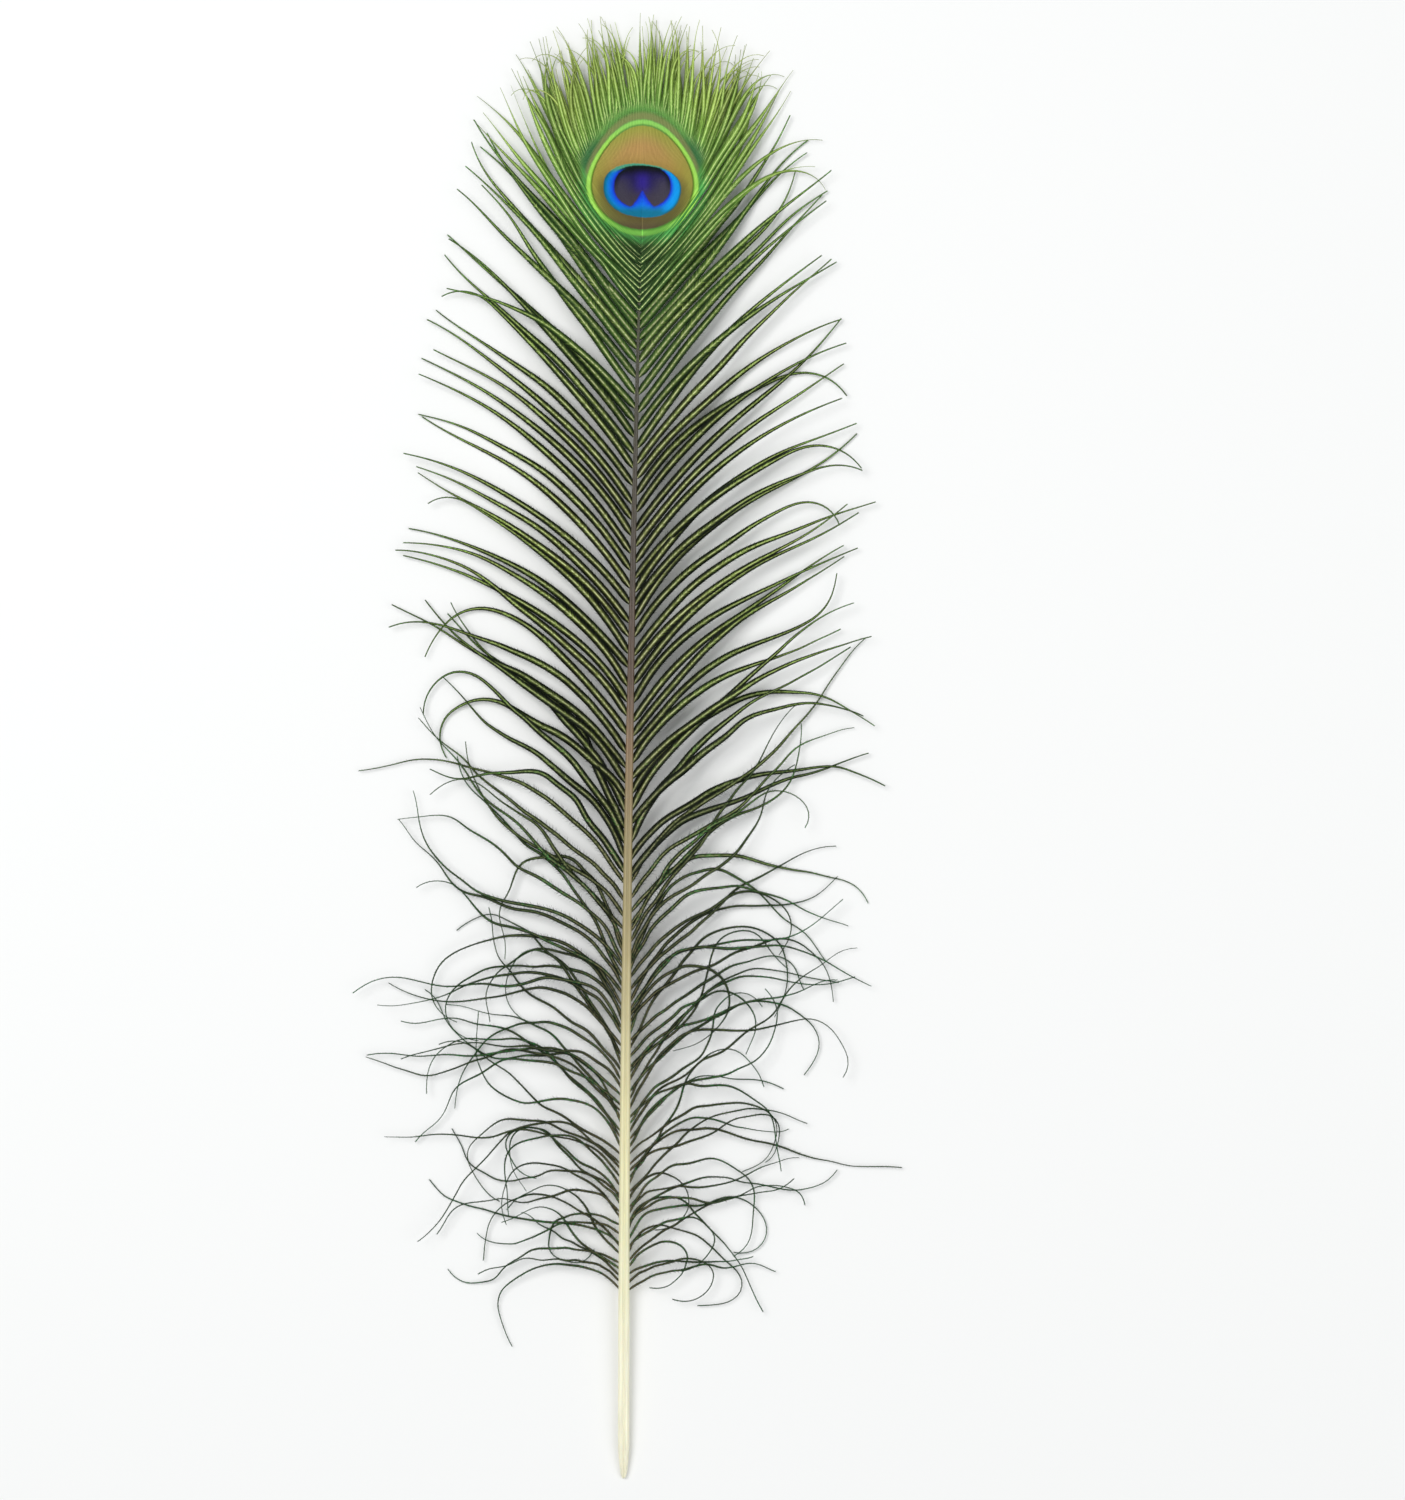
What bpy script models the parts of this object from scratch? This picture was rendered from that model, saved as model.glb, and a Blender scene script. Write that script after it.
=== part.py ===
"""A peacock tail feather lying face up on a flat surface.

Lengths are in metres. The feather lies along Y, with the end of its quill at -Y and its eye at +Y.
+Z is up, and the origin is on the surface, under the middle of the feather's bounding box.

The shaft is one solid. The barbs are far finer than solids can be, so each group of them is one thin
arched sheet. A sheet's rows are the lines that its barbs take: each row leaves the shaft, bends
outwards and comes down on the surface, where it lies flat to its tip.
"""
import math

import bmesh
import bpy
import numpy as np

MM = 0.001

# The whole feather
LENGTH = 317.0 * MM
EYE_Y = 122.0 * MM                # middle of the eye, where the shaft ends
QUILL_Y = -LENGTH / 2             # open end of the quill

# The shaft: a shallow arch that leans a little to the left at its quill
SHAFT_LEAN = (0.705 * MM, 0.0166, 0.05)     # x at y = 0, slope, and bend per metre
ARCH_TOP_Y = 20.0 * MM            # where the arch is highest
ARCH_RISE = 5.0 * MM              # how far the arch rises above the quill's end
QUILL_RADIUS = 1.25 * MM
RACHIS_TIP_RADIUS = 0.15 * MM
QUILL_POINT = 7.0 * MM            # length over which the quill's end narrows
QUILL_END_SHARE = 0.45            # radius of that end, as a share of the quill's
SHAFT_RINGS = 48
SHAFT_SIDES = 12
RING_CROWDING = 1.4               # above 1, the rings lie closer together near the quill's end

# The barbs, by how far below the eye's middle they leave the shaft
EYE_END = 28.0 * MM               # lowest barb of the eye and its fan
VANE_END = 150.0 * MM             # lowest barb of the loose vane
DOWN_END = 240.0 * MM             # lowest wisp on the quill
GROUP_GAP = 1.0 * MM              # distance along the shaft between two groups
SHAFT_GAP = 0.3 * MM              # clearance between a sheet and the shaft

# Where the barbs end: (distance down the shaft, tip out to the side, tip above the eye's middle)
TIPS = np.array([
    (0.0, 0.0, 36.5),
    (5.0, 10.0, 35.5),
    (11.0, 19.5, 32.0),
    (20.0, 27.5, 25.5),
    (28.0, 33.0, 16.5),
    (40.0, 38.5, 2.0),
    (60.0, 44.0, -20.0),
    (100.0, 48.0, -65.0),
    (150.0, 53.0, -120.0),
    (185.0, 58.0, -169.0),
    (215.0, 52.0, -210.0),
    (240.0, 34.0, -246.0),
]) * MM

# How steeply they leave it: (distance down the shaft in millimetres, degrees off the shaft)
LEAVE = np.array([(0, 0), (3, 46), (11, 52), (31, 48), (100, 42), (185, 36), (240, 40)])

# The sheets that stand for them
SHEET = 1.3 * MM                  # thickness
BEND_SHARE = 0.5                  # how far out the rows start to turn towards their tips
FLAT_FROM = 0.8                   # share of a row's length where it comes down on the surface
SHOULDER_EYE = 0.2                # share of a row that keeps the shaft's height, in the eye
SHOULDER_VANE = 0.02              # the same, in the vanes
COLUMNS = 9
EYE_ROWS = 12                     # rows on each side of the eye's middle one
EYE_CROWDING = 1.5                # above 1, the eye's rows lie closer together near the shaft's end
VANE_ROWS = 22
DOWN_ROWS = 16


def shaft_x(y):
    """Sideways place of the shaft's middle line."""
    start, slope, bend = SHAFT_LEAN
    return start + slope * y + bend * y * y


def shaft_z(y):
    """Height of the shaft's middle line, which arches between the quill's end and the eye."""
    fall = (y - ARCH_TOP_Y) / (QUILL_Y - ARCH_TOP_Y)
    return QUILL_RADIUS + ARCH_RISE * (1 - fall * fall)


def shaft_radius(y):
    """Thickens from the rachis's tip towards the quill, quickly at first."""
    share = (EYE_Y - y) / (EYE_Y - QUILL_Y)
    return RACHIS_TIP_RADIUS + (QUILL_RADIUS - RACHIS_TIP_RADIUS) * math.sin(math.pi / 2 * share)


def smoothstep(low, high, value):
    t = min(max((value - low) / (high - low), 0.0), 1.0)
    return t * t * (3 - 2 * t)


def along(stations, below):
    """Values on a smooth curve through the stations at a distance down the shaft."""
    at = stations[:, 0]
    i = min(max(int(np.searchsorted(at, below, side="right")) - 1, 0), len(at) - 2)
    t = (below - at[i]) / (at[i + 1] - at[i])
    slopes = np.gradient(stations[:, 1:], at, axis=0) * (at[i + 1] - at[i])
    return (
        (1 + 2 * t) * (1 - t) ** 2 * stations[i, 1:] + t * (1 - t) ** 2 * slopes[i]
        + t * t * (3 - 2 * t) * stations[i + 1, 1:] - t * t * (1 - t) * slopes[i + 1]
    )


def material(name, colour, roughness, metallic):
    made = bpy.data.materials.new(name)
    made.use_nodes = True
    shader = made.node_tree.nodes["Principled BSDF"]
    shader.inputs["Base Color"].default_value = (*colour, 1.0)
    shader.inputs["Roughness"].default_value = roughness
    shader.inputs["Metallic"].default_value = metallic
    return made


def add_object(name, bm, made_of):
    """Triangulates the mesh, turns its faces outwards and adds it to the scene under its name."""
    bmesh.ops.triangulate(bm, faces=bm.faces[:])
    bmesh.ops.recalc_face_normals(bm, faces=bm.faces[:])
    mesh = bpy.data.meshes.new(name)
    bm.to_mesh(mesh)
    bm.free()
    mesh.materials.append(made_of)
    piece = bpy.data.objects.new(name, mesh)
    bpy.context.collection.objects.link(piece)
    return piece


def shaft():
    """Quill and rachis in one: round rings along the arch, narrowed at the quill's end."""
    bm = bmesh.new()
    rings = []
    for i in range(SHAFT_RINGS + 1):
        y = QUILL_Y + (EYE_Y - QUILL_Y) * (i / SHAFT_RINGS) ** RING_CROWDING
        narrowing = smoothstep(0, QUILL_POINT, y - QUILL_Y)
        radius = shaft_radius(y) * (QUILL_END_SHARE + (1 - QUILL_END_SHARE) * math.sqrt(narrowing))
        # the end narrows towards its underside, so the quill still lies on the surface
        middle_z = shaft_z(y) - (shaft_radius(y) - radius)
        rings.append([
            bm.verts.new((
                shaft_x(y) + radius * math.cos(2 * math.pi * k / SHAFT_SIDES),
                y,
                middle_z + radius * math.sin(2 * math.pi * k / SHAFT_SIDES),
            ))
            for k in range(SHAFT_SIDES)
        ])
    for near, far in zip(rings, rings[1:]):
        for k in range(SHAFT_SIDES):
            after = (k + 1) % SHAFT_SIDES
            bm.faces.new((near[k], near[after], far[after], far[k]))
    bm.faces.new(rings[0])
    bm.faces.new(rings[-1])
    return add_object("shaft", bm, material("horn", (0.55, 0.47, 0.30), 0.4, 0.0))


def barb_line(side, below, shoulder):
    """Points of one sheet row: the line of the barb that leaves the shaft `below` the eye."""
    y = EYE_Y - below
    out = shaft_radius(y) + SHAFT_GAP
    if below:
        start = np.array((shaft_x(y) + side * out, y))
    else:
        start = np.array((shaft_x(y), y + out))
    tip_out, tip_above = along(TIPS, below)
    tip_y = EYE_Y + tip_above
    tip = np.array((shaft_x(tip_y) + side * tip_out, tip_y))
    angle = math.radians(np.interp(below / MM, LEAVE[:, 0], LEAVE[:, 1]))
    reach = BEND_SHARE * np.linalg.norm(tip - start)
    bend = start + reach * np.array((side * math.sin(angle), math.cos(angle)))
    points = []
    for j in range(COLUMNS + 1):
        u = j / COLUMNS
        x, along_y = (1 - u) ** 2 * start + 2 * u * (1 - u) * bend + u * u * tip
        lift = 1 - smoothstep(shoulder, FLAT_FROM, u)
        middle_z = SHEET / 2 + (shaft_z(y) - SHEET / 2) * lift
        points.append((x, along_y, middle_z))
    return points


def sheet(name, lines, made_of):
    """A closed sheet through barb lines that lie side by side."""
    bm = bmesh.new()
    top, bottom = (
        [[bm.verts.new((x, y, z + offset)) for x, y, z in line] for line in lines]
        for offset in (SHEET / 2, -SHEET / 2)
    )
    last_row, last_column = len(lines) - 1, COLUMNS
    for skin in (top, bottom):
        for i in range(last_row):
            for j in range(last_column):
                bm.faces.new((skin[i][j], skin[i + 1][j], skin[i + 1][j + 1], skin[i][j + 1]))
    rim = [(i, 0) for i in range(last_row)]
    rim += [(last_row, j) for j in range(last_column)]
    rim += [(i, last_column) for i in range(last_row, 0, -1)]
    rim += [(0, j) for j in range(last_column, 0, -1)]
    for (i, j), (k, m) in zip(rim, rim[1:] + rim[:1]):
        bm.faces.new((top[i][j], top[k][m], bottom[k][m], bottom[i][j]))
    return add_object(name, bm, made_of)


def group(name, side, first, last, rows, made_of):
    """The sheet of one side's barbs between two distances down the shaft."""
    lines = [barb_line(side, below, SHOULDER_VANE) for below in np.linspace(first, last, rows)]
    return sheet(name, lines, made_of)


def eye():
    """Both sides' barbs round the shaft's end, which hold together as one web."""
    belows = [EYE_END * (i / EYE_ROWS) ** EYE_CROWDING for i in range(EYE_ROWS + 1)]
    left = [barb_line(-1, below, SHOULDER_EYE) for below in reversed(belows)]
    right = [barb_line(1, below, SHOULDER_EYE) for below in belows[1:]]
    return sheet("eye", left + right, material("eye_web", (0.30, 0.20, 0.08), 0.45, 0.3))


for old in list(bpy.data.objects):
    bpy.data.objects.remove(old)

shaft()
eye()
vane_green = material("vane_green", (0.11, 0.16, 0.04), 0.5, 0.2)
down_green = material("down_green", (0.03, 0.07, 0.03), 0.6, 0.1)
for side, word in ((-1, "left"), (1, "right")):
    group(f"vane_{word}", side, EYE_END + GROUP_GAP, VANE_END, VANE_ROWS, vane_green)
    group(f"down_{word}", side, VANE_END + GROUP_GAP, DOWN_END, DOWN_ROWS, down_green)
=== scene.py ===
import math

import bpy
import numpy as np
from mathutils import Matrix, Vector


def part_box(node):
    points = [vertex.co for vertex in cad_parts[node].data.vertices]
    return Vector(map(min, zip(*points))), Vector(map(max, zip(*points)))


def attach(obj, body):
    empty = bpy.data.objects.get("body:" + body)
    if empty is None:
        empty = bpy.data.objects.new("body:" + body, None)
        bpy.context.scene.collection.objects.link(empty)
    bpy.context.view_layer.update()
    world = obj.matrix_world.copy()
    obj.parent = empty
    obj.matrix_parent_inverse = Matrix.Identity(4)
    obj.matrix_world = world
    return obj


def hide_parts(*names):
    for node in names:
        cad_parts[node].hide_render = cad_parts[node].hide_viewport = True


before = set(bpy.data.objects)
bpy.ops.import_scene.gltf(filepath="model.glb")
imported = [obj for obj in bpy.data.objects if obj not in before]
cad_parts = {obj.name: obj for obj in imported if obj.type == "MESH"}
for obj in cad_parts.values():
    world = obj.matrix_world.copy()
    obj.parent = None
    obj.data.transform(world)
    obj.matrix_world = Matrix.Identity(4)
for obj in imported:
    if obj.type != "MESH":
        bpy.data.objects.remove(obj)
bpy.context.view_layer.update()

# ---------------------------------------------------------------------------------------------
# The shaft. Quill and rachis are one grown tube of keratin, as horn or a fingernail is: clear,
# cream and glossy at the quill, and browner as it narrows towards the eye. Its back is rounded,
# and a groove runs along its underside.

MM = 0.001
QUILL_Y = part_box("shaft")[0].y
EYE_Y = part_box("shaft")[1].y
SHAFT_LEAN = (0.705 * MM, 0.0166, 0.05)     # x at y = 0, slope, and bend per metre
ARCH_TOP_Y = 20.0 * MM            # where the arch is highest
ARCH_RISE = 5.0 * MM              # how far the arch rises above the quill's end
QUILL_RADIUS = 1.25 * MM
RACHIS_TIP_RADIUS = 0.15 * MM
QUILL_POINT = 7.0 * MM            # length over which the quill's end narrows
QUILL_END_SHARE = 0.3             # radius of that end, as a share of the quill's
SHAFT_POINTS = 220


def shaft_x(y):
    """Sideways place of the shaft's middle line."""
    start, slope, bend = SHAFT_LEAN
    return start + slope * y + bend * y * y


def shaft_z(y):
    """Height of the shaft's middle line, which arches between the quill's end and the eye."""
    fall = (y - ARCH_TOP_Y) / (QUILL_Y - ARCH_TOP_Y)
    return QUILL_RADIUS + ARCH_RISE * (1 - fall * fall)


def shaft_radius(y):
    """Thickens from the rachis's tip towards the quill, quickly at first."""
    share = np.clip((EYE_Y - y) / (EYE_Y - QUILL_Y), 0, 1)
    return RACHIS_TIP_RADIUS + (QUILL_RADIUS - RACHIS_TIP_RADIUS) * np.sin(math.pi / 2 * share)


def smoothstep(low, high, value):
    """Rises smoothly from 0 at low to 1 at high."""
    t = np.clip((value - low) / (high - low), 0, 1)
    return t * t * (3 - 2 * t)


def colour(code):
    """An sRGB hex value as linear red, green, blue and alpha."""
    channels = [int(code[i:i + 2], 16) / 255 for i in (1, 3, 5)]
    return (*[c / 12.92 if c <= 0.04045 else ((c + 0.055) / 1.055) ** 2.4 for c in channels], 1.0)


def add(tree, kind, inputs=None, stops=None, **settings):
    """Adds a node. An input is a node, a socket or a value; stops are a colour ramp's."""
    node = tree.nodes.new(kind)
    for key, value in settings.items():
        setattr(node, key, value)
    for key, value in (inputs or {}).items():
        if isinstance(value, bpy.types.Node):
            value = next(socket for socket in value.outputs if socket.enabled)
        if isinstance(value, bpy.types.NodeSocket):
            tree.links.new(value, node.inputs[key])
        else:
            node.inputs[key].default_value = value
    if stops:
        elements = node.color_ramp.elements
        elements.remove(elements[1])
        elements[0].position, elements[0].color = stops[0][0], colour(stops[0][1])
        for position, code in stops[1:]:
            elements.new(position).color = colour(code)
    return node


def line_mesh(name, lines, values):
    """A mesh of open lines, one for each row of points, with a number on each point for each name."""
    mesh = bpy.data.meshes.new(name)
    counts = [len(line) for line in lines]
    starts = np.cumsum([0] + counts[:-1])
    edges = [(s + i, s + i + 1) for s, n in zip(starts, counts) for i in range(n - 1)]
    mesh.from_pydata(np.concatenate(lines).tolist(), edges, [])
    for key, rows in values.items():
        mesh.attributes.new(key, "FLOAT", "POINT").data.foreach_set(
            "value", np.concatenate(rows).astype(np.float32))
    return mesh


def grown(name, source, tree, values):
    """The plain mesh that a tree of geometry nodes makes from a source mesh, as a piece."""
    holder = bpy.data.objects.new("growing", source)
    bpy.context.collection.objects.link(holder)
    modifier = holder.modifiers.new("grow", "NODES")
    modifier.node_group = tree
    for item in tree.interface.items_tree:
        if item.in_out == "INPUT" and item.name in values:
            modifier[item.identifier] = values[item.name]
    graph = bpy.context.evaluated_depsgraph_get()
    mesh = bpy.data.meshes.new_from_object(
        holder.evaluated_get(graph), preserve_all_data_layers=True, depsgraph=graph)
    bpy.data.objects.remove(holder)
    mesh.name = name
    piece = bpy.data.objects.new(name, mesh)
    bpy.context.collection.objects.link(piece)
    return piece


def tree_with(name, sizes):
    """A tree of geometry nodes with a mesh and named sizes going in, and a mesh coming out."""
    tree = bpy.data.node_groups.new(name, "GeometryNodeTree")
    tree.interface.new_socket("Geometry", in_out="INPUT", socket_type="NodeSocketGeometry")
    for label, kind in sizes.items():
        tree.interface.new_socket(label, in_out="INPUT", socket_type="NodeSocket" + kind)
    tree.interface.new_socket("Geometry", in_out="OUTPUT", socket_type="NodeSocketGeometry")
    return tree, add(tree, "NodeGroupInput").outputs


def shaft_tree():
    """Sweeps a round profile with a flat belly and a groove along the shaft's line."""
    tree, given = tree_with("shaft", {
        "Sides": "Int", "Depth": "Float", "Groove": "Float", "Material": "Material"})
    circle = add(tree, "GeometryNodeCurvePrimitiveCircle", {"Resolution": given["Sides"], "Radius": 1.0})
    place = add(tree, "ShaderNodeSeparateXYZ", {0: add(tree, "GeometryNodeInputPosition")}).outputs
    middle = add(tree, "ShaderNodeMath", {
        0: 1.0, 1: add(tree, "ShaderNodeMath", {0: place[0]}, operation="ABSOLUTE")}, operation="SUBTRACT")
    dent = add(tree, "ShaderNodeMath", {
        0: add(tree, "ShaderNodeMath", {0: middle, 1: 4.0}, operation="POWER"),
        1: add(tree, "ShaderNodeMath", {0: place[1], 1: 0.0}, operation="MINIMUM")}, operation="MULTIPLY")
    height = add(tree, "ShaderNodeMath", {
        0: add(tree, "ShaderNodeMath", {0: place[1], 1: given["Depth"]}, operation="MULTIPLY"),
        1: add(tree, "ShaderNodeMath", {0: dent, 1: given["Groove"]}, operation="MULTIPLY")},
        operation="SUBTRACT")
    profile = add(tree, "GeometryNodeSetPosition", {
        "Geometry": circle, "Position": add(tree, "ShaderNodeCombineXYZ", {0: place[0], 1: height})})
    line = add(tree, "GeometryNodeMeshToCurve", {0: given["Geometry"]})
    width = add(tree, "GeometryNodeInputNamedAttribute", {"Name": "half_width"}, data_type="FLOAT")
    tube = add(tree, "GeometryNodeCurveToMesh", {
        "Curve": add(tree, "GeometryNodeSetCurveNormal", {0: line}, mode="Z_UP"),
        "Profile Curve": profile, "Scale": width, "Fill Caps": True})
    real = add(tree, "GeometryNodeRealizeInstances", {0: tube})
    add(tree, "NodeGroupOutput", {0: add(tree, "GeometryNodeSetMaterial", {
        0: real, "Material": given["Material"]})})
    return tree


def shader_with(name):
    """A new material, its node tree and its shader."""
    made = bpy.data.materials.new(name)
    made.use_nodes = True
    return made, made.node_tree, made.node_tree.nodes["Principled BSDF"]


# Keratin of the quill, grown smooth: cream and a little see-through at the quill, so it looks warm
# and waxy, and stained brown by melanin towards the eye. Fine lengthwise lines, about 0.15 mm apart.
horn, tree, shader = shader_with("horn_keratin")
place = add(tree, "ShaderNodeTexCoord").outputs["Object"]
along = add(tree, "ShaderNodeMapRange", {
    0: add(tree, "ShaderNodeSeparateXYZ", {0: place}).outputs["Y"], 1: QUILL_Y, 2: EYE_Y})
stretched = add(tree, "ShaderNodeMapping", {"Vector": place, "Scale": (3000.0, 25.0, 3000.0)})
streak = add(tree, "ShaderNodeTexNoise", {"Vector": stretched, "Scale": 1.0, "Detail": 3.0})
cloud = add(tree, "ShaderNodeTexNoise", {"Vector": place, "Scale": 90.0, "Detail": 2.0})
wander = add(tree, "ShaderNodeMath", {
    0: add(tree, "ShaderNodeMath", {0: cloud, 1: -0.5}, operation="ADD"), 1: 0.06, 2: along},
    operation="MULTIPLY_ADD")
tone = add(tree, "ShaderNodeValToRGB", {0: wander}, stops=[
    (0.0, "#f6f2d6"), (0.10, "#f7f4d8"), (0.19, "#eeebc2"), (0.30, "#e3dcae"), (0.41, "#b5a97c"),
    (0.48, "#a1946a"), (0.565, "#8b7355"), (0.63, "#5f4c3c"), (0.70, "#493f33"), (0.86, "#383620"),
    (0.98, "#454a26")])
grain = add(tree, "ShaderNodeMapRange", {0: streak, 1: 0.3, 2: 0.7, 3: 0.86, 4: 1.06})
tree.links.new(
    add(tree, "ShaderNodeVectorMath", {0: tone, "Scale": grain}, operation="SCALE").outputs[0],
    shader.inputs["Base Color"])
tree.links.new(
    add(tree, "ShaderNodeBump", {"Height": streak, "Strength": 0.35, "Distance": 0.00005}).outputs[0],
    shader.inputs["Normal"])
shader.inputs["Roughness"].default_value = 0.36
shader.inputs["IOR"].default_value = 1.54
shader.inputs["Subsurface Weight"].default_value = 0.15
shader.inputs["Subsurface Radius"].default_value = (1.0, 0.7, 0.4)
shader.inputs["Subsurface Scale"].default_value = 0.0008

share = np.linspace(0, 1, SHAFT_POINTS) ** 1.5
shaft_ys = QUILL_Y + (EYE_Y - QUILL_Y) * share
narrowing = QUILL_END_SHARE + (1 - QUILL_END_SHARE) * np.sqrt(
    np.clip((shaft_ys - QUILL_Y) / QUILL_POINT, 0, 1))
half_width = shaft_radius(shaft_ys) * narrowing
shaft_line = np.stack([
    shaft_x(shaft_ys), shaft_ys, shaft_z(shaft_ys) - (shaft_radius(shaft_ys) - half_width)], 1)
shaft = grown("shaft_horn", line_mesh("shaft", [shaft_line], {"half_width": [half_width]}), shaft_tree(), {
    "Sides": 28, "Depth": 0.92, "Groove": 0.7, "Material": horn})
shaft.data.shade_smooth()
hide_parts("shaft")
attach(shaft, "root")

# ---------------------------------------------------------------------------------------------
# The eye and its fan. Nearly seventy barbs on each side grow off the end of the rachis, of the same
# keratin. Their barbules hook together into a close web in the eye, and are loose past it, as a fan.

EYE_END = 28.0 * MM
# Steps between neighbouring barbs: (distance down the shaft, step), both in millimetres. In the vane
# real barbs keep up to 4.8 mm apart. They are drawn closer, so that a feather by itself looks full.
STEPS = np.array([
    (0, 0.22), (10.5, 0.24), (12, 0.4), (14, 0.62), (18, 1.05), (24, 1.6), (29, 2.1), (34, 2.7), (42, 3.2),
    (50, 3.5), (145, 3.5), (165, 2.05), (240, 1.4)])
# Where barbs end: (distance down the shaft, tip out to the side, tip above the eye's middle), in mm
TIPS = np.array([
    (0, 0, 36.5), (5, 9, 36), (11, 19.5, 32.5), (20, 27.5, 26), (28, 33, 17), (40, 38.5, 3),
    (60, 44, -20), (100, 48, -65), (150, 53, -120), (185, 58, -169), (215, 52, -210), (240, 34, -246)])
# How steeply they leave it: (distance down the shaft in mm, degrees off the shaft)
LEAVE = np.array([
    (0, 50), (11, 52), (22, 46), (31, 40), (60, 34), (100, 32), (150, 29), (185, 29), (240, 36)])
FIRST_BARB = 0.06                 # uppermost barb, in mm down the shaft
RING_BELOW = 10.7                 # the barb that runs along the light ring's foot, in mm down the shaft
WEB_BELOW = 18.5                  # lowest barb of the web, in mm down the shaft
WEB_EDGE = 1.12                   # the web ends this far out, with the light ring at 1
EYE_TURN = math.radians(6)        # the blue lies this much askew
NOTCH_TOP = -0.75                 # top of the notch in the dark heart, in mm above the eye's middle
BARB_POINTS = 52
BARB_LENGTH = 55.0                # of a long barb of the eye, in mm
EYE_SHOULDER = 0.25               # share of a barb that keeps the shaft's height
EYE_LANDING = 1.08                # where it would reach the surface: just past its tip
RAMUS_RISE = 0.42 * MM            # of the rami's middle over the line that they follow


def eye_fields(x, y):
    """How far out a place lies in the eye's markings, with each marking's edge at 1. x, y in mm."""
    def oval(x, y, wide, high, low, high_power, low_power):
        tall, power = np.where(y > 0, high, low), np.where(y > 0, high_power, low_power)
        return ((np.abs(x) / wide) ** power + (np.abs(y) / tall) ** power) ** (1 / power)

    def egg(wide, high, low):
        t = (y - (high - low) / 2) / ((high + low) / 2)
        return np.hypot(x / (wide - 3.2 * smoothstep(-0.45, 1.1, t)), t)

    across = x * math.cos(EYE_TURN) - y * math.sin(EYE_TURN)
    up = x * math.sin(EYE_TURN) + y * math.cos(EYE_TURN)
    heart = oval(x, y, 6.1, 4.5, 4.6, 2.5, 2.1)
    deep = np.maximum(NOTCH_TOP - y, 0.0)
    notch = 1 + (0.55 * np.sqrt(deep) + 0.12 * deep ** 2 - np.abs(x)) / 5.0
    return {
        "ring": egg(12.6, 14.9, 10.5),
        "mauve": egg(13.0, 16.5, 10.6),
        "blue": oval(across, up, 8.4, 5.05, 6.5, 2.2, 2.3),
        "dark": np.where(y < NOTCH_TOP, np.maximum(heart, notch), heart),
    }


def rows_between(first, last, rng, jitter):
    """Distances down the shaft at which barbs leave it, in millimetres."""
    rows, below = [], first
    while below < last:
        rows.append(below)
        below += np.interp(below, STEPS[:, 0], STEPS[:, 1]) * (1 + jitter * rng.uniform(-1, 1))
    return np.array(rows)


def barb(side, below, tip, leave, reach, shoulder, landing, points=BARB_POINTS):
    """One barb's line: off the shaft's side, round a bend and down towards the surface."""
    y = EYE_Y - below * MM
    # beside the eye the barbs grow over the rachis and hide it, and lower down they grow from its sides
    off = 0.02 * MM * smoothstep(0, 6, below) + 0.75 * shaft_radius(y) * smoothstep(12, 50, below)
    start = np.array((shaft_x(y) + side * off, y))
    angle = math.radians(leave)
    bend = start + reach * MM * np.array((side * math.sin(angle), math.cos(angle)))
    u = np.linspace(0, 1, points)[:, None]
    flat = (1 - u) ** 2 * start + 2 * u * (1 - u) * bend + u * u * tip
    lift = 1 - smoothstep(shoulder, landing, u[:, 0])
    return flat, u[:, 0], shaft_z(y) * lift


def eye_barb(side, below):
    """A barb of the eye, before it goes its own way: the lower it grows, the wider its bend."""
    leave = np.interp(below, LEAVE[:, 0], LEAVE[:, 1])
    reach = 22.0 * min(below / RING_BELOW, 1.0) ** 0.9 + max(below - RING_BELOW, 0) * 0.2
    return barb(side, below, eye_tip(side, below), leave, reach, EYE_SHOULDER, EYE_LANDING)


def eye_tip(side, below):
    """Where a barb of the eye would end if it stayed in line."""
    out, up = (np.interp(below, TIPS[:, 0], TIPS[:, k]) for k in (1, 2))
    return np.array((shaft_x(EYE_Y) + side * out * MM, EYE_Y + up * MM))


def turned(flat, angles):
    """A flat line whose steps are each turned clockwise by an angle, so that it bends and curls."""
    steps = np.diff(flat, axis=0)
    cos, sin = np.cos(angles[1:]), np.sin(angles[1:])
    steps = np.stack([steps[:, 0] * cos + steps[:, 1] * sin, steps[:, 1] * cos - steps[:, 0] * sin], 1)
    return np.concatenate([flat[:1], flat[0] + np.cumsum(steps, axis=0)])


def clumped(count, rng, smallest, largest):
    """For each barb, the middle of the clump that its tip clings to, as preened barbs do."""
    middles, i = np.zeros(count), 0
    while i < count:
        n = rng.integers(smallest, largest + 1)
        middles[i:i + n] = (i + min(i + n, count) - 1) / 2
        i += n
    return middles


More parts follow.
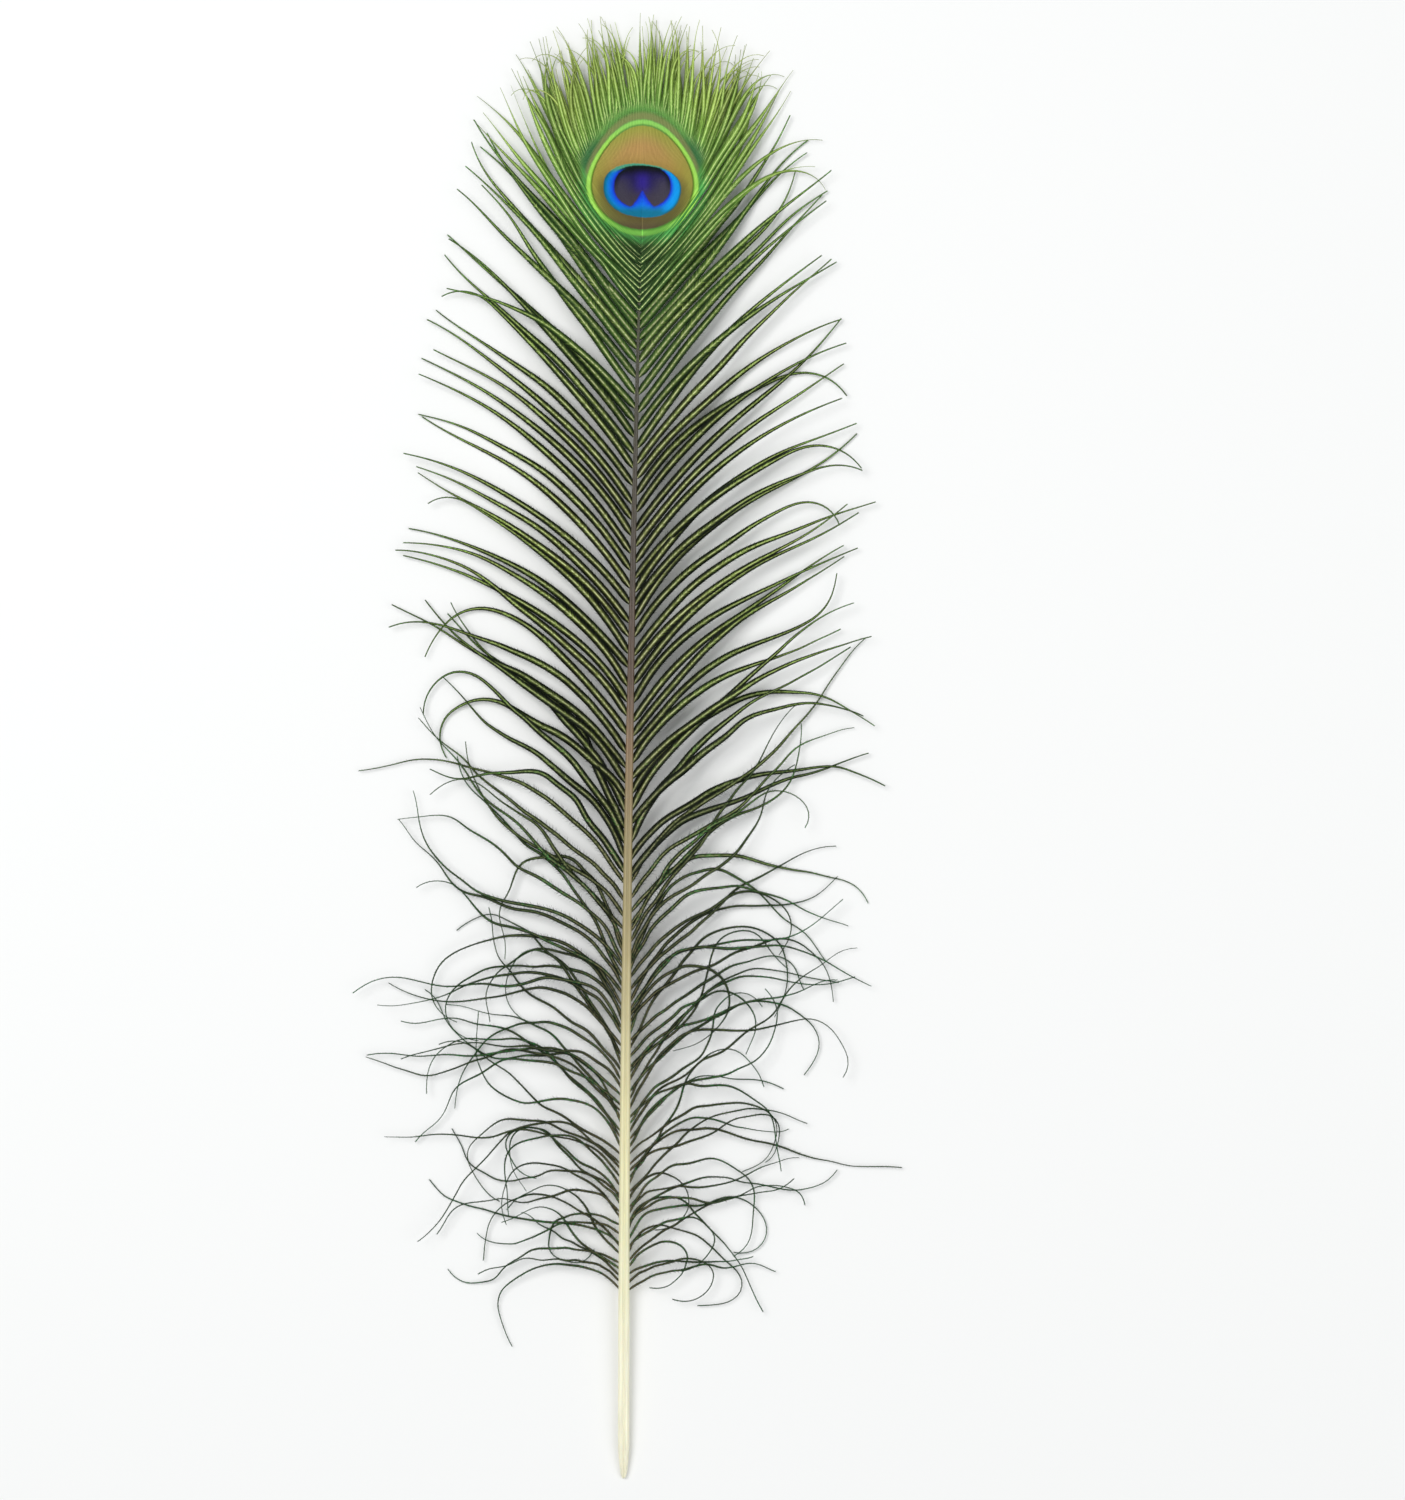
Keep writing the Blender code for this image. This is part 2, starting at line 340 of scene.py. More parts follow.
def barb_tree():
    """Grows barbs from lines: a ramus, a ribbon of close-set barbules, and a fringe of single ones."""
    tree, given = tree_with("barbs", {
        "Barbule Spacing": "Float", "Barbule Width": "Float", "Sweep": "Float", "Lift": "Float",
        "Looseness": "Float", "Ribbon Share": "Float", "Flatness": "Float", "Rows": "Float",
        "Seed": "Int", "Material": "Material"})
    value = {}
    for name in (
            "half_width", "barbule", "twist", "fullness", "run", "hand", "tipward", "across", "deep", "along",
            "row"):
        value[name] = add(tree, "GeometryNodeInputNamedAttribute", {"Name": name}, data_type="FLOAT")
    lines = add(tree, "GeometryNodeSetCurveNormal", {
        0: add(tree, "GeometryNodeMeshToCurve", {0: given["Geometry"]})}, mode="Z_UP")
    lines = add(tree, "GeometryNodeSetCurveTilt", {"Curve": lines, "Tilt": value["twist"]})
    spot = add(tree, "ShaderNodeSeparateXYZ", {0: add(tree, "GeometryNodeInputPosition")}).outputs

    # the ramus is a low roof with its ridge on top; the ribbon is a thin roof with wide, drooping sides
    roof = add(tree, "GeometryNodeTransform", {
        "Geometry": add(tree, "GeometryNodeCurvePrimitiveCircle", {"Resolution": 4, "Radius": 1.0}),
        "Scale": add(tree, "ShaderNodeCombineXYZ", {0: 1.0, 1: given["Flatness"], 2: 1.0})})
    wings = add(tree, "GeometryNodeCurvePrimitiveQuadrilateral", {
        "Point 1": (1.0, -0.12, 0.0), "Point 2": (0.0, 0.06, 0.0), "Point 3": (-1.0, -0.12, 0.0),
        "Point 4": (0.0, -0.08, 0.0)}, mode="POINTS")
    spread = add(tree, "ShaderNodeMath", {
        0: add(tree, "ShaderNodeMath", {0: given["Sweep"]}, operation="SINE"), 1: given["Ribbon Share"]},
        operation="MULTIPLY")
    parts = []
    for profile, width, reach in ((roof, value["half_width"], 0.0), (wings, add(tree, "ShaderNodeMath", {
            0: value["barbule"], 1: spread}, operation="MULTIPLY"), given["Ribbon Share"])):
        for name, number in (("across", spot[0]), ("deep", spot[1])):
            profile = add(tree, "GeometryNodeStoreNamedAttribute", {
                "Geometry": profile, "Name": name, "Value": number})
        swept = add(tree, "GeometryNodeCurveToMesh", {
            "Curve": lines, "Profile Curve": profile, "Scale": width, "Fill Caps": True})
        # its barbules slant forwards, so a mark at the ribbon's edge grew further back
        out = add(tree, "ShaderNodeMath", {0: value["across"], 1: reach}, operation="MULTIPLY")
        slant = add(tree, "ShaderNodeMath", {
            0: add(tree, "ShaderNodeMath", {0: out}, operation="ABSOLUTE"),
            1: add(tree, "ShaderNodeMath", {0: value["barbule"], 1: 0.85 / MM}, operation="MULTIPLY")},
            operation="MULTIPLY")
        back = add(tree, "ShaderNodeMath", {0: value["run"], 1: slant}, operation="SUBTRACT")
        for name, number in (("run", back), ("tipward", out), ("hand", 1.0)):
            swept = add(tree, "GeometryNodeStoreNamedAttribute", {
                "Geometry": swept, "Name": name, "Value": number})
        parts.append(swept)

    # one barbule: a thin three-sided spike
    spike = add(tree, "GeometryNodeMeshCone", {
        "Vertices": 3, "Side Segments": 1, "Radius Top": 0.0, "Radius Bottom": 0.5, "Depth": 1.0},
        fill_type="NGON")
    for name, part in (("across", 0), ("deep", 1), ("tipward", 2)):
        spike = add(tree, "GeometryNodeStoreNamedAttribute", {
            "Geometry": spike, "Name": name, "Value": spot[part]})
    for hand in (1.0, -1.0):
        points = add(tree, "GeometryNodeCurveToPoints", {
            "Curve": lines, "Length": given["Barbule Spacing"]}, mode="LENGTH")
        forward = points.outputs["Tangent"]
        aside = add(tree, "ShaderNodeVectorMath", {0: add(tree, "ShaderNodeVectorMath", {
            0: forward, 1: (0.0, 0.0, 1.0)}, operation="CROSS_PRODUCT")}, operation="NORMALIZE")
        up = add(tree, "ShaderNodeVectorMath", {0: aside, 1: forward}, operation="CROSS_PRODUCT")
        chance = {}
        for name, low, high, salt in (
                ("sweep", -1.0, 1.0, 10), ("lift", -1.0, 1.0, 11), ("length", 0.7, 1.15, 12),
                ("keeping", 0.0, 1.0, 14)):
            seed = add(tree, "ShaderNodeMath", {
                0: given["Seed"], 1: salt + 40.0 * (hand < 0)}, operation="ADD")
            chance[name] = add(tree, "FunctionNodeRandomValue", {
                2: low, 3: high, "Seed": seed}, data_type="FLOAT")
        sweep = add(tree, "ShaderNodeMath", {
            0: chance["sweep"], 1: given["Looseness"], 2: given["Sweep"]}, operation="MULTIPLY_ADD")
        lift = add(tree, "ShaderNodeMath", {
            0: chance["lift"], 1: given["Looseness"], 2: given["Lift"]}, operation="MULTIPLY_ADD")
        lift = add(tree, "ShaderNodeMath", {0: value["twist"], 1: -hand, 2: lift}, operation="MULTIPLY_ADD")
        # out to its side and up by the lift, then forwards along the barb by the sweep
        way = aside
        for first, second, angle, sign in ((aside, up, lift, hand), (forward, None, sweep, 1.0)):
            cosine = add(tree, "ShaderNodeMath", {0: angle}, operation="COSINE")
            sine = add(tree, "ShaderNodeMath", {0: angle}, operation="SINE")
            start = add(tree, "ShaderNodeVectorMath", {
                0: first, "Scale": add(tree, "ShaderNodeMath", {0: cosine, 1: sign}, operation="MULTIPLY")},
                operation="SCALE")
            turned_by = add(tree, "ShaderNodeVectorMath", {
                0: second or way, "Scale": sine}, operation="SCALE")
            way = add(tree, "ShaderNodeVectorMath", {0: start, 1: turned_by}, operation="ADD")
        long = add(tree, "ShaderNodeMath", {0: value["barbule"], 1: chance["length"]}, operation="MULTIPLY")
        thin = add(tree, "ShaderNodeMath", {0: given["Barbule Width"], 1: 0.5}, operation="MULTIPLY")
        kept = add(tree, "FunctionNodeCompare", {
            0: value["fullness"], 1: chance["keeping"]}, data_type="FLOAT", operation="GREATER_THAN")
        marked = add(tree, "GeometryNodeStoreNamedAttribute", {
            "Geometry": points, "Name": "hand", "Value": hand})
        parts.append(add(tree, "GeometryNodeInstanceOnPoints", {
            "Points": marked, "Selection": kept, "Instance": spike,
            "Rotation": add(tree, "FunctionNodeAxesToRotation", {
                "Primary Axis": way, "Secondary Axis": up}, primary_axis="Z", secondary_axis="Y"),
            "Scale": add(tree, "ShaderNodeCombineXYZ", {0: given["Barbule Width"], 1: thin, 2: long})}))
    joined = add(tree, "GeometryNodeJoinGeometry")
    for part in reversed(parts):
        tree.links.new(part.outputs[0], joined.inputs[0])
    real = add(tree, "GeometryNodeRealizeInstances", {0: joined})
    sided = add(tree, "ShaderNodeMath", {0: value["hand"], 1: value["tipward"]}, operation="MULTIPLY")
    real = add(tree, "GeometryNodeStoreNamedAttribute", {"Geometry": real, "Name": "sided", "Value": sided})

    # the map: one strip for each barb, with its length along U and its barbules across V
    strip = add(tree, "ShaderNodeMath", {0: sided, 1: 0.4, 2: add(tree, "ShaderNodeMath", {
        0: value["row"], 1: 0.5}, operation="ADD")}, operation="MULTIPLY_ADD")
    strip = add(tree, "ShaderNodeMath", {0: value["across"], 1: 0.06, 2: strip}, operation="MULTIPLY_ADD")
    length = add(tree, "ShaderNodeMath", {
        0: value["tipward"], 1: 0.01, 2: value["along"]}, operation="MULTIPLY_ADD")
    length = add(tree, "ShaderNodeMath", {0: value["deep"], 1: 0.004, 2: length}, operation="MULTIPLY_ADD")
    flat = add(tree, "ShaderNodeCombineXYZ", {
        0: add(tree, "ShaderNodeMath", {0: length, 1: 0.96, 2: 0.018}, operation="MULTIPLY_ADD"),
        1: add(tree, "ShaderNodeMath", {0: strip, 1: given["Rows"]}, operation="DIVIDE")})
    mapped = add(tree, "GeometryNodeStoreNamedAttribute", {
        "Geometry": real, "Name": "OFBake", "Value": flat}, data_type="FLOAT2", domain="CORNER")
    add(tree, "NodeGroupOutput", {0: add(tree, "GeometryNodeSetMaterial", {
        0: mapped, "Material": given["Material"]})})
    return tree


def painted(tree, base, layers):
    """Colours laid over a base, each as strongly as the product of its readings' soft steps."""
    for over, steps in layers:
        strength = 1.0
        for value, low, high, *ends in steps:
            start, end = ends or (0.0, 1.0)
            step = add(tree, "ShaderNodeMapRange", {
                0: value, 1: low, 2: high, 3: start, 4: end}, interpolation_type="SMOOTHSTEP")
            strength = step if strength == 1.0 else add(
                tree, "ShaderNodeMath", {0: strength, 1: step}, operation="MULTIPLY")
        base = add(tree, "ShaderNodeMix", {
            0: strength, 6: base, 7: colour(over) if isinstance(over, str) else over}, data_type="RGBA")
    return base


def toned(tree, shader, base, factors):
    """Links a colour to a shader after the factors that make it lighter and darker."""
    for value, low, high, start, end in factors:
        factor = add(tree, "ShaderNodeMapRange", {0: value, 1: low, 2: high, 3: start, 4: end})
        base = add(tree, "ShaderNodeVectorMath", {0: base, "Scale": factor}, operation="SCALE")
    tree.links.new(base.outputs[0], shader.inputs["Base Color"])


def barb_readings(tree, names):
    """What a barb's material knows of a place, and chance along the barb for painted glints, painted dashes
    and painted sheen.
    """
    at = {name: add(tree, "ShaderNodeAttribute", attribute_name=name).outputs["Fac"] for name in names}
    at["tipward"] = add(tree, "ShaderNodeMath", {0: at["sided"]}, operation="ABSOLUTE")
    # real barbules are about 0.04 mm apart; they are drawn 0.12 to 0.23 mm apart, so that they show
    # painted glints: a chance brightness for each barbule's cell; painted dashes of reflection: one chance
    # for each 0.4 mm of ramus
    for name, step in (("painted_glint", 0.15), ("painted_dash", 0.4)):
        count = add(tree, "ShaderNodeMath", {0: add(tree, "ShaderNodeMath", {
            0: at["run"], 1: step}, operation="DIVIDE")}, operation="FLOOR")
        side = add(tree, "ShaderNodeMath", {0: at["sided"]}, operation="SIGN") if name == "painted_glint" else 0.0
        cell = add(tree, "ShaderNodeCombineXYZ", {0: count, 1: at["row"], 2: side})
        at[name] = add(tree, "ShaderNodeTexWhiteNoise", {"Vector": cell}, noise_dimensions="3D")
    # and stretches of some 6 mm of painted sheen, where barbules would lie flatter and shine
    stretch = add(tree, "ShaderNodeCombineXYZ", {0: add(tree, "ShaderNodeMath", {
        0: at["run"], 1: 6.0}, operation="DIVIDE"), 1: add(tree, "ShaderNodeMath", {
            0: at["row"], 1: 3.7}, operation="MULTIPLY")})
    at["shine"] = add(tree, "ShaderNodeTexNoise", {"Vector": stretch, "Scale": 1.0, "Detail": 1.0})
    return at


# What the eye's material knows of a place: its barb, how loose it is there, and the eye's fields
EYE_VALUES = (
    "along", "row", "run", "own", "loose", "below", "high", "aside", "ring", "mauve", "blue", "dark")

# Hooked barbules of the eye: keratin rods packed with melanin rods, which give colour as a soap
# film does. To the eye it is satin, with fine lines where one barb meets the next.
eye_web, tree, shader = shader_with("eye_barbule_keratin")
at = barb_readings(tree, (*EYE_VALUES, "sided"))
wide = add(tree, "ShaderNodeMath", {0: at["aside"]}, operation="ABSOLUTE")
from_below = (at["below"], 10.0, 13.0)
# past the ring: emerald close by, then leaf green, then yellow-green and bronze at the tips
upper = add(tree, "ShaderNodeValToRGB", {
    0: add(tree, "ShaderNodeMapRange", {0: at["ring"], 1: 1.0, 2: 3.3})}, stops=[
    (0.0, "#5f954e"), (0.08, "#66a04a"), (0.2, "#7dab48"), (0.4, "#93b44c"), (0.7, "#9fb254"),
    (1.0, "#8c8a4c")])
upper = painted(tree, upper, [
    ("#28643f", [(at["mauve"], 1.34, 1.1, 0.0, 0.75), (at["high"], 13.0, 8.0)]),
    ("#94955c", [(at["mauve"], 1.05, 0.97, 0.0, 0.75)])])
# the barbs that rise from below the ring are darker at their roots, and mint green where they pass it
lower = add(tree, "ShaderNodeValToRGB", {0: at["along"]}, stops=[
    (0.0, "#2e4a22"), (0.3, "#4a722e"), (0.6, "#6a943c"), (0.85, "#8cae4c"), (1.0, "#82964e")])
lower = painted(tree, lower, [("#56b056", [(at["ring"], 1.24, 1.03), (at["own"], 0.0, 1.0, 0.45, 1.0)])])
# outside the web: painted glints in stretches of painted sheen, and pale rami broken by painted dashes of
# reflection, over the barbs' own greens and darker tips
outside = painted(tree, upper, [
    (lower, [from_below]),
    ("#1e3010", [(at["loose"], 0.0, 1.0), (at["tipward"], 0.3, 0.9, 0.0, 0.75), (
        at["below"], 10.0, 13.0, 0.75, 1.0)]),
    ("#c4da82", [(at["loose"], 0.0, 1.0), (at["painted_glint"], 0.78, 0.9, 0.0, 0.5), (at["shine"], 0.45, 0.65), (
        at["along"], 0.3, 0.6, 0.15, 1.0)]),
    ("#cfe092", [(at["loose"], 0.0, 0.8), (at["tipward"], 0.18, 0.02), (at["painted_dash"], 0.1, 0.5, 0.4, 1.0), (
        at["below"], 13.0, 10.0, 0.8, 0.9)])])
# the light ring, with a dark edge inside it
lime = add(tree, "ShaderNodeValToRGB", {
    0: add(tree, "ShaderNodeMapRange", {0: at["ring"], 1: 0.893, 2: 1.015})}, stops=[
    (0.0, "#4a6420"), (0.15, "#587a26"), (0.3, "#98d048"), (0.42, "#b6f268"), (0.8, "#b0ee66"),
    (1.0, "#70ae4c")])
lime = painted(tree, lime, [
    ("#7ccc70", [(at["high"], 9.0, 14.0, 0.0, 0.45)]), ("#5cae48", [(at["high"], -4.0, -9.5, 0.0, 0.7)])])
bronze = add(tree, "ShaderNodeValToRGB", {
    0: add(tree, "ShaderNodeMapRange", {0: at["high"], 1: -10.0, 2: 14.0})}, stops=[
    (0.0, "#625338"), (0.2, "#74623c"), (0.38, "#9a8842"), (0.55, "#ba9c4e"), (0.75, "#c9a160"),
    (1.0, "#c79b64")])
olive = painted(tree, colour("#5f543a"), [("#a5ae48", [(at["high"], -9.0, -3.0)])])
bronze = painted(tree, bronze, [
    (olive, [(at["ring"], 0.5, 0.92), (wide, 9.0, 4.0, 0.55, 0.9)]),
    ("#54482a", [(at["blue"], 1.3, 1.02), (at["high"], 4.0, -1.0, 0.15, 0.55)])])
# the blue: teal at its edge, then azure, and deeper towards the dark heart
gap = add(tree, "ShaderNodeMath", {0: 1.0, 1: at["blue"]}, operation="SUBTRACT")
inner = add(tree, "ShaderNodeMath", {
    0: add(tree, "ShaderNodeMath", {0: at["dark"], 1: 1.0}, operation="SUBTRACT"), 1: 0.002},
    operation="MAXIMUM")
depth = add(tree, "ShaderNodeMath", {
    0: gap, 1: add(tree, "ShaderNodeMath", {0: gap, 1: inner}, operation="ADD")}, operation="DIVIDE")
azure = add(tree, "ShaderNodeValToRGB", {0: depth}, stops=[
    (0.0, "#0c6470"), (0.1, "#067ea4"), (0.3, "#0588dc"), (0.6, "#0a70f0"), (0.85, "#164ae8"),
    (1.0, "#1c2cac")])
brow = painted(tree, colour("#06201c"), [("#58b08c", [(depth, 0.75, 0.35)])])
azure = painted(tree, azure, [
    ("#04a8fc", [(at["aside"], 2.0, 7.0, 0.0, 0.9), (depth, 0.9, 0.4), (depth, 0.0, 0.2)]),
    ("#0a7a9c", [(at["high"], -3.6, -5.6), (wide, 6.0, 3.5)]),
    (brow, [(at["high"], 3.0, 4.2)])])
heart = add(tree, "ShaderNodeValToRGB", {
    0: add(tree, "ShaderNodeMapRange", {0: at["high"], 1: -4.5, 2: 5.0})}, stops=[
    (0.0, "#484048"), (0.3, "#3e384a"), (0.5, "#2c2458"), (0.7, "#221a58"), (0.85, "#0e0c28"),
    (0.95, "#04080c")])
heart = painted(tree, heart, [
    ("#474350", [(wide, 1.5, 4.5), (at["high"], 3.5, 0.0, 0.0, 0.8)]),
    ("#03100f", [(at["dark"], 0.78, 1.0), (at["high"], -2.0, 2.0, 0.0, 0.85)]),
    ("#33209a", [(wide, 2.4, 0.0, 0.0, 0.7), (at["high"], -3.0, 1.0), (at["high"], 4.2, 1.5)])])
coloured = painted(tree, outside, [
    (lime, [(at["ring"], 1.03, 0.99)]), (bronze, [(at["ring"], 0.912, 0.885)]),
    (azure, [(at["blue"], 1.02, 0.99)]), (heart, [(at["dark"], 1.01, 0.985)])])
# barb to barb the tone varies, and barbule to barbule painted glints lighten and darken it, more so where
# they are loose
spread = add(tree, "ShaderNodeMath", {0: at["loose"], 1: 0.32, 2: 0.08}, operation="MULTIPLY_ADD")
vary = [add(tree, "ShaderNodeMath", {0: spread, 1: add(tree, "ShaderNodeMath", {
    0: at[name], 1: -0.5}, operation="ADD")}, operation="MULTIPLY") for name in ("painted_glint", "own")]
# and below the blue, the rachis shows through as a thin pale line
seam = painted(tree, colour("#000000"), [("#ffffff", [(wide, 0.16, 0.05), (at["high"], -6.0, -7.0)])])
toned(tree, shader, coloured, [
    (vary[0], -0.5, 0.5, 0.5, 1.5), (vary[1], -0.5, 0.5, 0.5, 1.5), (seam, 0.0, 1.0, 1.0, 1.6)])
shader.inputs["Roughness"].default_value = 0.5
shader.inputs["Specular IOR Level"].default_value = 0.15


def eye_values(flat, u, row, below, own, shift):
    """What the eye's material reads on one barb."""
    x, y = (flat[:, 0] - shaft_x(EYE_Y)) / MM, (flat[:, 1] - EYE_Y) / MM
    fields = eye_fields(x, y + shift)
    same = np.ones(len(u))
    near = smoothstep(1.02, 1.16, fields["ring"])
    loose = np.maximum(smoothstep(1.08, 1.45, fields["ring"]), smoothstep(11.5, 15.0, below) * near)
    return {
        "along": u, "row": row * same, "run": BARB_LENGTH * u, "own": own * same, "loose": loose * same,
        "below": below * same, "high": y, "aside": x, **fields}


BARBS = barb_tree()
for side, word in ((-1, "left"), (1, "right")):
    rng = np.random.default_rng(11 + side)
    belows = rows_between(FIRST_BARB, EYE_END / MM, rng, 0.05)
    middles = clumped(len(belows), rng, 2, 6)
    drift = np.interp(belows, np.arange(0, 31, 2.5), rng.normal(0, 1.6, 13))
    lines, values = [], {key: [] for key in ("half_width", "barbule", "twist", "fullness", *EYE_VALUES)}
    for row, below in enumerate(belows):
        tip = eye_tip(side, below)
        flat, u, z = eye_barb(side, below)
        found = eye_values(flat, u, row, below, rng.uniform(0, 1), rng.normal(0, 0.03))
        loose = smoothstep(1.08, 1.45, found["ring"])
        # past the web each barb goes its own way: into a clump, drifting, curling outwards at its end
        clump = eye_tip(side, np.interp(middles[row], np.arange(len(belows)), belows))
        free = np.cumsum(loose) / max(loose.sum(), 1)
        stray = rng.normal(0, 3.5) if rng.uniform() < 0.12 else rng.normal(0, 0.5)
        pull = (clump - tip) * rng.uniform(0.4, 0.8)
        pull += np.array((drift[row] + stray, min(rng.normal(-1.0, 3.4), 1.6))) * MM
        flat = flat + pull * (free ** 1.3)[:, None]
        hook = rng.uniform(-0.8, 2.4) if rng.uniform() < 0.4 else 0
        curl = side * (rng.uniform(-0.1, 0.4) * free ** 2 + hook * free ** 5)
        flat = turned(flat, curl + rng.uniform(0, 0.09) * loose * np.sin(14 * u + rng.uniform(0, 6)))
        z = z + RAMUS_RISE + free * rng.uniform(0, 2.4) * MM
        low = smoothstep(11.5, 16, below)
        taper = 1 - smoothstep(0.4 + 0.15 * low, 0.95 + 0.05 * low, free)
        web = 1 - found["loose"]
        lines.append(np.column_stack([flat, z]))
        hooked = 0.28 + 0.9 * smoothstep(11.5, 18, below)
        values["half_width"].append((web * 0.04 + (1 - web) * (0.02 + 0.095 * taper)) * MM)
        # barbules that grow beside the light ring stop short of it
        room = 0.3 + 25 * np.maximum(found["ring"] - 1.0, 0) + 9 * (below < 10.5)
        loose_length = 0.14 + (0.98 + 0.5 * low) * taper
        values["barbule"].append(np.minimum(web * hooked + (1 - web) * loose_length, room) * MM)
        values["fullness"].append(0.3 + 0.7 * (1 - web) + smoothstep(0.99, 1.06, found["ring"]))
        values["twist"].append(free * (
            rng.normal(0, 0.3) + 0.35 * np.sin(rng.uniform(5, 9) * u + rng.uniform(0, 6))))
        for key in EYE_VALUES:
            values[key].append(found[key])
    eye = grown(f"eye_barbs_{word}", line_mesh("eye_lines", lines, values), BARBS, {
        "Barbule Spacing": 0.19 * MM, "Barbule Width": 0.14 * MM, "Sweep": math.radians(32),
        "Lift": math.radians(5), "Looseness": math.radians(7), "Ribbon Share": 0.72, "Flatness": 0.45,
        "Rows": float(len(belows)), "Seed": 3 + side, "Material": eye_web})
    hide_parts("eye")
    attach(eye, "root")

# Inside the eye the hooked barbules close into a sheet, which lies just under the rami and their
# ribbons. Real barbules are thinner than it is, and lie in two layers that cross.
SHEET_COLUMNS = 44
SHEET_RISE = 0.36 * MM            # of its top over the line that the rami follow
SHEET_THICKNESS = 0.06 * MM
SHEET_SPAN = 34.0 * MM            # a little over the sheets' own width and height, for their map

for side, word in ((-1, "left"), (1, "right")):
    ragged = np.random.default_rng(17 + side)
    belows = rows_between(0.0, WEB_BELOW, ragged, 0.0)
    grid, last = [], 1.0
    for row, below in enumerate(belows):
        flat, u, z = eye_barb(side, below)
        rings = eye_fields((flat[:, 0] - shaft_x(EYE_Y)) / MM, (flat[:, 1] - EYE_Y) / MM)["ring"]
        edge = WEB_EDGE + ragged.uniform(-0.03, 0.03)
        # a barb that never comes near the ring is webbed a little less far than the one above it
        inside = np.nonzero((rings < edge) & (u > 0.08))[0]
        last = u[inside[-1] + 1] if len(inside) else last - 0.03
        even = np.linspace(0, last, SHEET_COLUMNS)
        across, down, height = flat[:, 0], flat[:, 1], z + SHEET_RISE
        grid.append(np.column_stack([np.interp(even, u, place) for place in (across, down, height)]))
    top = np.array(grid)
    rows, columns = top.shape[:2]
    under = top - np.array((0, 0, SHEET_THICKNESS))
    points = np.concatenate([top.reshape(-1, 3), under.reshape(-1, 3)])
    size = rows * columns
    faces = []
    for i in range(rows - 1):
        for j in range(columns - 1):
            a, b = i * columns + j, (i + 1) * columns + j
            faces += [(a, b, b + 1, a + 1), (a + size, a + 1 + size, b + 1 + size, b + size)]
    rim = [i * columns for i in range(rows - 1)] + [(rows - 1) * columns + j for j in range(columns - 1)]
    rim += [i * columns + columns - 1 for i in range(rows - 1, 0, -1)] + list(range(columns - 1, 0, -1))
    faces += [(b, a, a + size, b + size) for a, b in zip(rim, rim[1:] + rim[:1])]
    # the left side mirrors the right one, so its faces are turned to point outwards
    if side < 0:
        faces = [face[::-1] for face in faces]
    mesh = bpy.data.meshes.new(f"eye_sheet_{word}")
    mesh.from_pydata(points.tolist(), [], faces)
    mesh.materials.append(eye_web)
    own = np.repeat(np.random.default_rng(5 + side).uniform(0, 1, rows), columns)
    outward = np.tile(np.linspace(0, 0.5, columns), 2 * rows)
    values = eye_values(points[:, :2], outward, 0, np.tile(np.repeat(belows, columns), 2), 0, 0.0)
    values.update({"own": np.tile(own, 2), "sided": 0.3 + 0 * points[:, 0]})
    for key, row in values.items():
        mesh.attributes.new(key, "FLOAT", "POINT").data.foreach_set("value", row.astype(np.float32))
    mapped = mesh.uv_layers.new(name="OFBake")
    corners = np.array([points[loop.vertex_index, :2] for loop in mesh.loops])
    corners = (corners - np.array((shaft_x(EYE_Y), EYE_Y + 3 * MM))) / SHEET_SPAN + (0.5, 0.5)
    # this side's half of the eye is stretched over the map's whole width
    corners[:, 0] = (corners[:, 0] - 0.5) * 1.9 + (0.97 if side < 0 else 0.03)
    mapped.data.foreach_set("uv", corners.astype(np.float32).ravel())
    mesh.shade_smooth()
    sheet = bpy.data.objects.new(f"eye_sheet_{word}", mesh)
    bpy.context.collection.objects.link(sheet)
    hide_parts("eye")
    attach(sheet, "root")

# ---------------------------------------------------------------------------------------------
# The loose vanes. Below the eye the barbs have no hooks and stand apart, about 3.5 mm from one to
# the next: stiff herl, each one a pale ramus with a dark green fringe of barbules.

VANE_END = 150.0 * MM
GROUP_GAP = 0.8                   # distance down the shaft between two groups of barbs, in mm
HERL_POINTS = 60
BENDS = 19                        # places along a limp barb where it changes its way by chance


